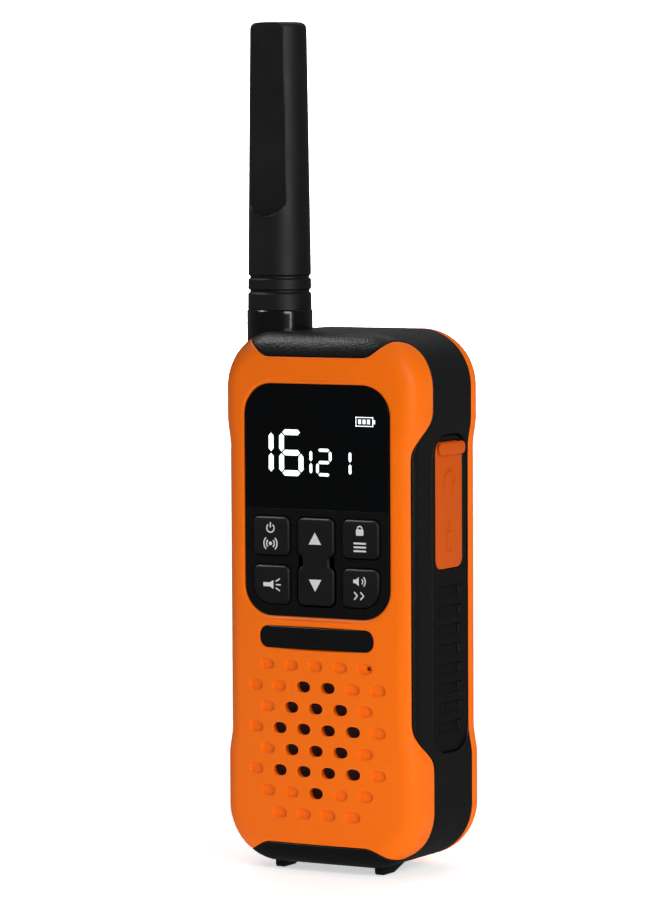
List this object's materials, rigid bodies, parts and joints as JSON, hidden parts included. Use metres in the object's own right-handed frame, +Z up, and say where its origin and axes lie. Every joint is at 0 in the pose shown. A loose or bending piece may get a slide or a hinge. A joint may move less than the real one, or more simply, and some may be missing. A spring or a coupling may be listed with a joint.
{
  "type": "two way radio",
  "caption": "Hand-held two way radio with a paddle antenna, display window over keys, grille, socket flap, talk button, sliding battery door and sprung belt clip.",
  "frame": {"origin": "middle of the whole radio's footprint, belt clip included, at the level of the undersides of its two feet", "axes": "+Z up along the antenna, -Y out of the face with the display, +X to the user's right when looking at the face"},
  "size_m": [0.0494, 0.0408, 0.19],
  "materials": {
    "orange_shell": "satin moulded ABS, orange",
    "black_frame": "spark-textured moulded ABS, black",
    "black_gloss": "polished black plastic",
    "panel_matte": "fine matte black plastic",
    "lens_smoked": "smoked hard-coated acrylic",
    "display_black": "unlit negative display",
    "display_lit": "lit white bars",
    "diffuser": "white light guide",
    "key_rubber": "matte key caps with printed marks",
    "silicone_grey": "silicone",
    "orange_silicone": "orange silicone",
    "grip_rubber": "black thermoplastic rubber",
    "board": "green solder mask on glass epoxy",
    "black_parts": "black engineering plastic",
    "stainless": "plated or stainless steel",
    "magnet": "nickel plated magnet",
    "paper": "treated paper and cloth",
    "lamp_clear": "clear polycarbonate lens",
    "led": "phosphor and epoxy",
    "brass": "turned or stamped brass",
    "copper": "enamelled copper wire",
    "former": "natural plastic rod",
    "cells": "shrink-wrapped steel cans"
  },
  "bodies": {
    "case": {"front_shell": "orange_shell", "mid_frame": "black_frame", "back_shell": "orange_shell", "case_seal": "silicone_grey", "case_screws": "stainless", "display_lens": "lens_smoked", "key_bezel": "panel_matte", "name_plate": "black_gloss", "lcd_panel": "display_black", "display_segments": "display_lit", "backlight": "diffuser", "key_mat": "silicone_grey", "key_switches": "stainless", "main_board": "board", "board_screws": "stainless", "shield_can": "stainless", "board_headers": "black_parts", "speaker_basket": "stainless", "speaker_cone": "paper", "speaker_magnet": "magnet", "speaker_gauze": "paper", "microphone": "stainless", "microphone_boot": "silicone_grey", "lamp_lens": "lamp_clear", "lamp_led": "led", "antenna_base": "black_gloss", "antenna_nut": "brass", "antenna_pin": "brass", "antenna_sleeve": "grip_rubber", "antenna_former": "former", "antenna_coil": "copper", "antenna_feed": "brass", "grip_right": "grip_rubber", "grip_left": "grip_rubber", "port_board": "board", "usb_socket": "stainless", "headset_jack": "black_parts", "talk_board": "board", "talk_switch": "black_parts", "battery_tray": "black_parts", "battery_cells": "cells", "battery_springs": "stainless", "battery_tabs": "stainless", "clip_base": "black_frame", "clip_pin": "stainless", "clip_spring": "stainless"},
    "call_key": {"call_key": "key_rubber"},
    "menu_key": {"menu_key": "key_rubber"},
    "lamp_key": {"lamp_key": "key_rubber"},
    "scan_key": {"scan_key": "key_rubber"},
    "channel_rocker": {"channel_rocker": "key_rubber"},
    "talk_button": {"talk_button": "grip_rubber"},
    "port_cover": {"port_cover": "orange_silicone"},
    "battery_door": {"battery_door": "orange_shell"},
    "belt_clip": {"belt_clip": "black_frame"}
  },
  "joints": [
    {"name": "call_key_press", "type": "slide", "parent": "case", "child": "call_key", "axis": [0, 1, 0], "range_m": [0, 0.0006], "stiffness_N_per_m": 900, "springref_m": -0.0003},
    {"name": "menu_key_press", "type": "slide", "parent": "case", "child": "menu_key", "axis": [0, 1, 0], "range_m": [0, 0.0006], "stiffness_N_per_m": 900, "springref_m": -0.0003},
    {"name": "lamp_key_press", "type": "slide", "parent": "case", "child": "lamp_key", "axis": [0, 1, 0], "range_m": [0, 0.0006], "stiffness_N_per_m": 900, "springref_m": -0.0003},
    {"name": "scan_key_press", "type": "slide", "parent": "case", "child": "scan_key", "axis": [0, 1, 0], "range_m": [0, 0.0006], "stiffness_N_per_m": 900, "springref_m": -0.0003},
    {"name": "rocker_tilt", "type": "hinge", "parent": "case", "child": "channel_rocker", "pos_m": [0, -0.01765, 0.07], "axis": [1, 0, 0], "range_deg": [-2.5, 2.5], "stiffness_Nm_per_rad": 0.06},
    {"name": "talk_press", "type": "slide", "parent": "case", "child": "talk_button", "axis": [1, 0, 0], "range_m": [0, 0.001], "stiffness_N_per_m": 900, "springref_m": -0.0003},
    {"name": "cover_swing", "type": "hinge", "parent": "case", "child": "port_cover", "pos_m": [0.0237, -0.00105, 0.06835], "axis": [0, 1, 0], "range_deg": [0, 110]},
    {"name": "door_slide", "type": "slide", "parent": "case", "child": "battery_door", "axis": [0, 0, -1], "range_m": [0, 0.003]},
    {"name": "clip_open", "type": "hinge", "parent": "case", "child": "belt_clip", "pos_m": [0, 0.0171, 0.09715], "axis": [1, 0, 0], "range_deg": [0, 12], "stiffness_Nm_per_rad": 0.8, "springref_deg": -14.32}
  ]
}
